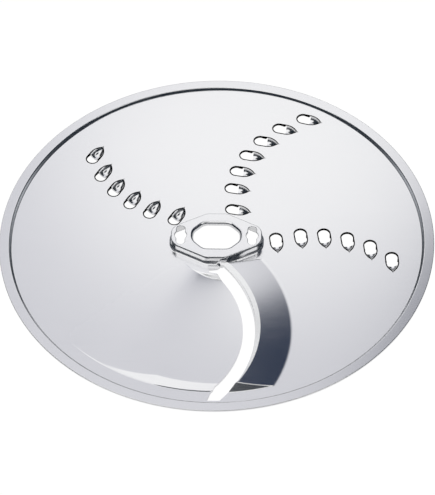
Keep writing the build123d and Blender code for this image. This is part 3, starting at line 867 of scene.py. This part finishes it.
def spread_face(height, loops, rings, chains, hub_stations, side):
    """Triangulates one face between its loops, which are lists of point numbers already placed."""
    flat = []
    numbers = []
    edges = []

    def add_line(places, known, closed):
        start, count = len(flat), len(places)
        edges.extend((start + i, start + (i + 1) % count) for i in range(count if closed else count - 1))
        flat.extend(map(tuple, places))
        numbers.extend(known)

    for loop in loops:
        add_line([disc_points[i][:2] for i in loop], loop, True)
    for chain in chains:
        add_line(chain, add_points(np.c_[chain, height(*chain.T)]), False)
    for station in hub_stations:
        loop = octagon_loop(hub_sizes, station)
        add_line(loop, add_points(np.c_[loop, height(*loop.T)]), True)
    loose = [ring(radius) for radius in rings]
    places, steps = net_points(height, min(rings) - CLEARANCE_STEP, (min(hub_stations), max(hub_stations)))
    walls = wall_points()
    loose_steps = np.concatenate([np.full(sum(map(len, loose)), NET_STEPS[-1]), steps,
                                  np.full(len(walls), WALL_STEP)])
    loose = np.vstack([*loose, places, walls])
    tree = KDTree(len(flat))
    for i, place in enumerate(flat):
        tree.insert((*place, 0), i)
    tree.balance()
    gaps = np.array([tree.find((*place, 0))[2] for place in loose])
    loose = loose[gaps > NET_CLEARANCE * np.minimum(loose_steps, CLEARANCE_STEP)]
    holes = [np.array([disc_points[i][:2] for i in loop]) for loop in loops[1:]]
    for hole in holes:
        loose = loose[~inside_loop(loose, hole)]
    numbers.extend(add_points(np.c_[loose, height(*loose.T)]))
    flat.extend(map(tuple, loose))
    places, _, triangles, origins, _, _ = delaunay_2d_cdt(
        [Vector(p) for p in flat], edges, [], 1, MERGE_DISTANCE)
    known = []
    for place, origin in zip(places, origins):
        if origin:
            known.append(numbers[origin[0]])
        else:
            spot = np.array([place])
            known.extend(add_points(np.c_[spot, height(*spot.T)]))
    places = np.array([tuple(p) for p in places])
    corners = np.array(triangles)
    centres = places[corners].mean(1)
    keep = np.ones(len(corners), bool)
    for hole in holes:
        keep &= ~inside_loop(centres, hole)
    for triangle in corners[keep]:
        numbered = [known[i] for i in triangle]
        (ax, ay), (bx, by), (cx, cy) = (disc_points[i][:2] for i in numbered)
        upward = (bx - ax) * (cy - ay) - (by - ay) * (cx - ax) > 0
        add_face(numbered if upward == (side == UPPER) else numbered[::-1], side)


def wall_points():
    """Points along the two steepest walls, where the net is too coarse: beside the hub on both sides."""
    radii = np.arange(SECTOR_INNER + INNER_WALL[0], SECTOR_INNER + INNER_WALL[1], WALL_STEP)
    turns = np.arange(SECTOR_START, SECTOR_START + INNER_WALL_TURN, WALL_LONG_STEP / SECTOR_INNER)
    radius, turn = (g.ravel() for g in np.meshgrid(radii, turns))
    sector = np.c_[radius * np.cos(turn), radius * np.sin(turn)]
    along, away = (g.ravel() for g in np.meshgrid(np.arange(*BLADE_WALL_LENGTH, WALL_LONG_STEP),
                                                  np.arange(*BLADE_WALL, WALL_STEP)))
    run = np.array([cos(BLADE_HUB_DIRECTION), sin(BLADE_HUB_DIRECTION)])
    blade = BLADE_HUB_POINT + along[:, None] * run + away[:, None] * (run[1], -run[0])
    spots = np.vstack([sector, blade])
    return spots[octagon_distance(hub_sizes, *spots.T) > WALL_HUB_GAP]


def add_strip(first, second, side):
    """A band of faces between two loops with as many points."""
    for i in range(len(first)):
        j = (i + 1) % len(first)
        add_face((first[i], first[j], second[j], second[i]), side)


def upper_height(x, y):
    """The upper face, ground along the blade."""
    return sheet_height(x, y, 0, True)


def lower_height(x, y):
    """The lower face."""
    return sheet_height(x, y, SHEET)


def level_row(outline, level):
    """Adds points at one level, or at a level for each."""
    return add_points(np.c_[outline, np.broadcast_to(level, len(outline))])


def rolled_rows(outline, grow, top_level, roll, steps):
    """Rows from the face, a roll outside the outline, over a rounded edge to the outline below."""
    rows = []
    for turn in np.linspace(0, pi / 2, steps + 1):
        place = outline + grow * roll * (1 - sin(turn))
        rows.append(level_row(place, top_level - roll * (1 - cos(turn))))
    return rows


upper_loops = []
lower_loops = []


def add_cut(rows, outward=False):
    """The wall of a cut, as strips between its rows from the upper to the lower face."""
    for first, second in zip(rows, rows[1:]):
        add_strip(*((second, first) if outward else (first, second)), WALL)
    upper_loops.append(rows[0])
    lower_loops.append(rows[-1])


# outer edge: rolled over at the top, cut nearly square below
rim_outline = ring(DISC_RADIUS)
rim_level = border_section(0)[0](np.full(RING_POINTS, DISC_RADIUS))
rim_rows = rolled_rows(rim_outline, -rim_outline / DISC_RADIUS, rim_level, RIM_ROLL, EDGE_ROLL_STEPS)
rim_low = ring(DISC_RADIUS - RIM_DRAFT)
add_cut([*rim_rows, level_row(rim_low, lower_height(*rim_low.T))], outward=True)

# slot: cut square, down to a knife edge on the blade's side
slot_rows = [level_row(slot_outline, height(*slot_outline.T)) for height in (upper_height, lower_height)]
slot_turns_left = np.sum(slot_outline[:, 0] * np.roll(slot_outline[:, 1], -1)
                         - slot_outline[:, 1] * np.roll(slot_outline[:, 0], -1)) > 0
add_cut(slot_rows, outward=not slot_turns_left)

# drive hole: over the lip, down the collar, round its end and up to the hub's underside
drive_outline = octagon_loop(DRIVE_SIZES, 0)
drive_grow = octagon_loop(DRIVE_SIZES, 1) - drive_outline
drive_rows = rolled_rows(drive_outline, drive_grow, hub_top, DRIVE_LIP, DRIVE_LIP_STEPS)
collar_end = hub_top - COLLAR_DEPTH
for grow, level in ((0, collar_end + COLLAR_EDGE), (COLLAR_EDGE, collar_end),
                    (SHEET - COLLAR_EDGE, collar_end), (SHEET, collar_end + COLLAR_EDGE),
                    (SHEET, hub_top - SHEET - COLLAR_FILLET)):
    drive_rows.append(level_row(octagon_loop(DRIVE_SIZES, grow), level))
for turn in np.linspace(0, pi / 2, COLLAR_FILLET_STEPS + 1)[1:]:
    place = octagon_loop(DRIVE_SIZES, SHEET + COLLAR_FILLET * (1 - cos(turn)))
    drive_rows.append(level_row(place, hub_top - SHEET - COLLAR_FILLET * (1 - sin(turn))))
add_cut(drive_rows)

# locating holes: pierced, with a small roll at the top
for centre_x in (-LOCATOR_OFFSET, LOCATOR_OFFSET):
    outline = locator_outline(centre_x)
    rows = rolled_rows(outline, loop_normals(outline), hub_top, PIERCED_ROLL, EDGE_ROLL_STEPS)
    add_cut([*rows, level_row(outline, hub_top - SHEET)])

upper_loops.extend(upper_tooth_loops)
lower_loops.extend(lower_tooth_loops)


def section_stations(section):
    """Distances across the bends of a section, with one more just before and after each bend."""
    stations = []
    for start, end in section[1]:
        pad = (end - start) / BEND_STEPS
        stations.extend(np.linspace(start - pad / 2, end + pad / 2, BEND_STEPS + 2))
    return sorted(stations)


def bevel_line():
    """Where the bevel meets the blade, followed along the cutting edge."""
    line = []
    for x, y in knife_edge(cutting_edge)[BEVEL_TRIM:-BEVEL_TRIM]:
        reach = hypot(x - BLADE_CENTRE[0], y - BLADE_CENTRE[1])
        turn = atan2(y - BLADE_CENTRE[1], x - BLADE_CENTRE[0])
        out = np.linspace(reach, BLADE_GRIND_RADIUS + BEVEL_SEARCH, BEVEL_SAMPLES)
        px, py = BLADE_CENTRE[0] + out * cos(turn), BLADE_CENTRE[1] + out * sin(turn)
        over = sheet_height(px, py, 0) > grind_height(px, py) + BEVEL_TOLERANCE
        if over[0] and not over[-1]:
            i = np.flatnonzero(~over)[0]
            line.append((px[i], py[i]))
    return np.array(line)


for section_inset, height, loops, chains, side in (
    (0.0, upper_height, upper_loops, [bevel_line()], UPPER),
    (SHEET, lower_height, lower_loops, [], LOWER),
):
    rings = [r for r in section_stations(border_section(section_inset)) if r < DISC_RADIUS - RIM_CLEARANCE]
    rings += [border_foot + share * BORDER_WIDTH for share in LIP_SHARES]
    spread_face(height, loops, rings, chains, section_stations(hub_section(section_inset)), side)

# The mesh with its two finishes, rolled sheet and ground bevel, and the normals that shape the gloss
BEVEL_COLOUR = (0.96, 0.965, 0.97)
BEVEL_GRAIN = {"Line scale": 2400.0, "Cloud scale": 120.0, "Low roughness": 0.16, "High roughness": 0.28,
               "Low tone": 0.95, "High tone": 1.0}
BEVEL_RELIEF = 0.000002
GROUND_TOLERANCE = 2e-8
SHARP_ANGLE = radians(38)
ground_bevel = steel_material("ground_bevel", BEVEL_COLOUR, BEVEL_GRAIN, BEVEL_RELIEF)
points = np.array(disc_points)
used = np.zeros(len(points), bool)
for face in disc_faces:
    used[list(face)] = True
renumber = np.cumsum(used) - 1
points = points[used]
faces = [[int(renumber[i]) for i in face] for face in disc_faces]
disc_mesh = bpy.data.meshes.new("slicing_grating_disc_sheet")
disc_mesh.from_pydata(points.tolist(), [], faces)
for material in (steel_sheet, ground_bevel):
    disc_mesh.materials.append(material)

face_kind = np.array(face_sides)
centres = np.array([points[face].mean(0)[:2] for face in faces])
before_grinding = sheet_height(*centres.T, 0) - GROUND_TOLERANCE
face_kind[(face_kind == UPPER) & (upper_height(*centres.T) < before_grinding)] = GROUND
disc_mesh.polygons.foreach_set("material_index", np.where(face_kind == GROUND, 1, 0).astype(np.int32))
disc_mesh.polygons.foreach_set("use_smooth", np.ones(len(faces), bool))
disc_mesh.set_sharp_from_angle(angle=SHARP_ANGLE)
corner_count = len(disc_mesh.loops)
normals = np.zeros(corner_count * 3, np.float32)
disc_mesh.corner_normals.foreach_get("vector", normals)
normals = normals.reshape(-1, 3)
corner_points = np.zeros(corner_count, np.int32)
disc_mesh.loops.foreach_get("vertex_index", corner_points)
corner_kind = np.repeat(face_kind, [len(face) for face in faces])
x, y = points[:, 0], points[:, 1]
kinds = {
    UPPER: slope_normals(lambda a, b: sheet_height(a, b, 0), x, y),
    LOWER: -slope_normals(lower_height, x, y),
    GROUND: slope_normals(grind_height, x, y),
}
for kind, vectors in kinds.items():
    chosen = corner_kind == kind
    normals[chosen] = vectors[corner_points[chosen]]
disc_mesh.normals_split_custom_set(normals.tolist())

disc = new_object("slicing_grating_disc_sheet", disc_mesh)
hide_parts("slicing_grating_disc")
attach(disc, "root")

# Stage: floor, light and camera.
# A pale floor that keeps the disc's shadow, a soft studio all round, and a long lens.
FLOOR_HALF = 4.0
FLOOR_COLOUR = (0.8, 0.8, 0.8, 1)
FLOOR_ROUGHNESS = 0.9
FLOOR_GLOW = 1.08
FLOOR_SEEN = 0.92  # share of the glow in what the camera sees of the floor
FLOOR_MIRRORED = 0.45  # share of it in what the steel mirrors
WHITE = (1, 1, 1, 1)


def flat_panel(name, low, high):
    """A rectangle in its own XY plane between two corners."""
    mesh = bpy.data.meshes.new(name)
    corners = [(*low, 0), (high[0], low[1], 0), (*high, 0), (low[0], high[1], 0)]
    mesh.from_pydata(corners, [], [(0, 1, 2, 3)])
    return new_object(name, mesh)


floor = flat_panel("floor", (-FLOOR_HALF, -FLOOR_HALF), (FLOOR_HALF, FLOOR_HALF))
floor_paint = bpy.data.materials.new("floor_paint")
floor_paint.use_nodes = True
tree = floor_paint.node_tree
matt = tree.nodes["Principled BSDF"]
matt.inputs["Base Color"].default_value = FLOOR_COLOUR
matt.inputs["Roughness"].default_value = FLOOR_ROUGHNESS
glow = add_node(tree, "ShaderNodeEmission", {"Color": WHITE, "Strength": FLOOR_GLOW})
rays = tree.nodes.new("ShaderNodeLightPath").outputs
seen = math_node(tree, "MAXIMUM", math_node(tree, "MULTIPLY", rays["Is Camera Ray"], FLOOR_SEEN),
                 math_node(tree, "MULTIPLY", rays["Is Glossy Ray"], FLOOR_MIRRORED))
mix = add_node(tree, "ShaderNodeMixShader", {"Fac": seen, 1: matt.outputs[0], 2: glow.outputs[0]})
tree.links.new(mix.outputs[0], tree.nodes["Material Output"].inputs["Surface"])
floor.data.materials.append(floor_paint)

CAMERA_TURN = radians(2.4)
CAMERA_HEIGHT = radians(49.4)
turned = Matrix.Rotation(CAMERA_TURN, 3, "Z")
right = turned @ Vector((1, 0, 0))


def facing(place, across, back):
    """A frame at a place, with its X axis across and its Z axis back."""
    return Matrix.Translation(place) @ Matrix((across, back.cross(across), back)).transposed().to_4x4()


def smooth_step(tree, value, low, high):
    """0 below the low value and 1 above the high one, with a soft change between; returns its output."""
    return add_node(tree, "ShaderNodeMapRange", {"Value": value, "From Min": low, "From Max": high},
                    interpolation_type="SMOOTHSTEP").outputs["Result"]


# soft box behind the disc: what the flat plate mirrors, brightest low down and fading to its edges
BOX_DISTANCE = 0.6
BOX_LOW = (-0.195, -0.22)
BOX_HIGH = (0.26, 0.30)
BOX_CENTRE = (0.024, -0.051, 0)
BOX_STRETCH = (1 / 1.353, 1 / 1.027, 0)
BOX_FADE = [(0.040, 1.0), (0.064, 0.965), (0.080, 0.88), (0.094, 0.79), (0.110, 0.71), (0.135, 0.63),
            (0.180, 0.70), (0.240, 0.9)]  # distance from the centre, brightness
BOX_SPAN = 0.25
BOX_COOL = 0.12  # blue that the light gains as it fades
BOX_LESS_RED = 0.7  # red and green that it loses, as shares of that
BOX_LESS_GREEN = 0.6
BOX_DARK = (0.115, 0.166)  # the right side falls to black between these, further right lower down
BOX_DARK_COLOUR = (0.003, 0.015, 0.047, 1)
BOX_SLANT = 0.38
BOX_SLANT_START = 0.040
box = flat_panel("soft_box", BOX_LOW, BOX_HIGH)
box.visible_camera = False
box.visible_shadow = False
box_back = turned @ Vector((0, -cos(CAMERA_HEIGHT), -sin(CAMERA_HEIGHT)))
box.matrix_world = facing(box_back * -BOX_DISTANCE, right, box_back)
box_light = bpy.data.materials.new("soft_box_light")
box_light.use_nodes = True
tree = box_light.node_tree
tree.nodes.remove(tree.nodes["Principled BSDF"])
place = tree.nodes.new("ShaderNodeTexCoord").outputs["Object"]
shifted = add_node(tree, "ShaderNodeVectorMath", {0: place, 1: BOX_CENTRE}, operation="SUBTRACT")
squeezed = add_node(tree, "ShaderNodeVectorMath", {0: shifted.outputs[0], 1: BOX_STRETCH},
                    operation="MULTIPLY")
length = add_node(tree, "ShaderNodeVectorMath", {0: squeezed.outputs[0]}, operation="LENGTH")
ramp = add_node(tree, "ShaderNodeValToRGB", {
    "Fac": math_node(tree, "DIVIDE", length.outputs["Value"], BOX_SPAN)})
stops = ramp.color_ramp.elements
while len(stops) < len(BOX_FADE):
    stops.new(1.0)
for stop, (distance, bright) in zip(stops, BOX_FADE):
    stop.position = distance / BOX_SPAN
    cool = BOX_COOL * (1 - bright)
    stop.color = (bright * (1 - BOX_LESS_RED * cool), bright * (1 - BOX_LESS_GREEN * cool),
                  min(bright * (1 + cool), 1.0), 1)
split = add_node(tree, "ShaderNodeSeparateXYZ", {0: place}).outputs
lift = math_node(tree, "SUBTRACT", split["Y"], BOX_SLANT_START)
slanted = math_node(tree, "ADD", split["X"], math_node(tree, "MULTIPLY", lift, BOX_SLANT))
faded = colour_mix(tree, smooth_step(tree, slanted, *BOX_DARK), ramp.outputs["Color"], BOX_DARK_COLOUR)
lamp = add_node(tree, "ShaderNodeEmission", {"Color": faded})
tree.links.new(lamp.outputs[0], tree.nodes["Material Output"].inputs["Surface"])
box.data.materials.append(box_light)

# studio all round: dark, with a pale horizon and soft bright patches that the bent parts mirror
STUDIO_BASE = (0.016, 0.022, 0.03, 1)
STUDIO_LOW = (0.42, 0.44, 0.47, 1)
PATCHES = [  # bearing from +Y to +X, height, inner and outer angle, colour that it changes to
    (0, -90, 94, 100, STUDIO_LOW),
    (180, 75, 31, 34, WHITE),
    (130, 52, 14, 18, WHITE),
    (230, 52, 14, 18, WHITE),
    (319, 58, 10, 13, WHITE),
    (330, 48, 7, 10, WHITE),
    (337, 36, 7, 10, WHITE),
    (135, 64, 10, 13, STUDIO_BASE),
    (158, 67, 10, 13, STUDIO_BASE),
]
world = bpy.data.worlds.new("studio")
bpy.context.scene.world = world
world.use_nodes = True
tree = world.node_tree
direction = tree.nodes.new("ShaderNodeTexCoord").outputs["Generated"]


def soft_patch(bearing, height, inner, outer):
    """A soft round patch of the studio about a direction: 1 inside the inner angle, 0 past the outer."""
    level = cos(radians(height))
    centre = (sin(radians(bearing)) * level, cos(radians(bearing)) * level, sin(radians(height)))
    dot = add_node(tree, "ShaderNodeVectorMath", {0: direction, 1: centre}, operation="DOT_PRODUCT")
    return smooth_step(tree, dot.outputs["Value"], cos(radians(outer)), cos(radians(inner)))


studio = STUDIO_BASE
for *patch, colour in PATCHES:
    studio = colour_mix(tree, soft_patch(*patch), studio, colour)
rays = tree.nodes.new("ShaderNodeLightPath").outputs
plain = math_node(tree, "MAXIMUM", rays["Is Camera Ray"], rays["Is Transmission Ray"])
tree.links.new(colour_mix(tree, plain, studio, WHITE), tree.nodes["Background"].inputs["Color"])

CAMERA_ROLL = radians(-1.2)
CAMERA_DISTANCE = 1.6992
CAMERA_TARGET = Vector((0.00033, -0.0032, PLATE_TOP))
FOCAL_PIXELS = 4108.4
IMAGE_HEIGHT = 495
SENSOR_WIDTH = 36.0
camera_data = bpy.data.cameras.new("camera")
camera_data.sensor_width = SENSOR_WIDTH
camera_data.lens = FOCAL_PIXELS * SENSOR_WIDTH / IMAGE_HEIGHT
camera = new_object("camera", camera_data)
back = turned @ Vector((0, -cos(CAMERA_HEIGHT), sin(CAMERA_HEIGHT)))
across = right * cos(CAMERA_ROLL) + back.cross(right) * sin(CAMERA_ROLL)
camera.matrix_world = facing(turned @ CAMERA_TARGET + back * CAMERA_DISTANCE, across, back)
bpy.context.scene.camera = camera
bpy.context.scene.view_settings.view_transform = "Standard"
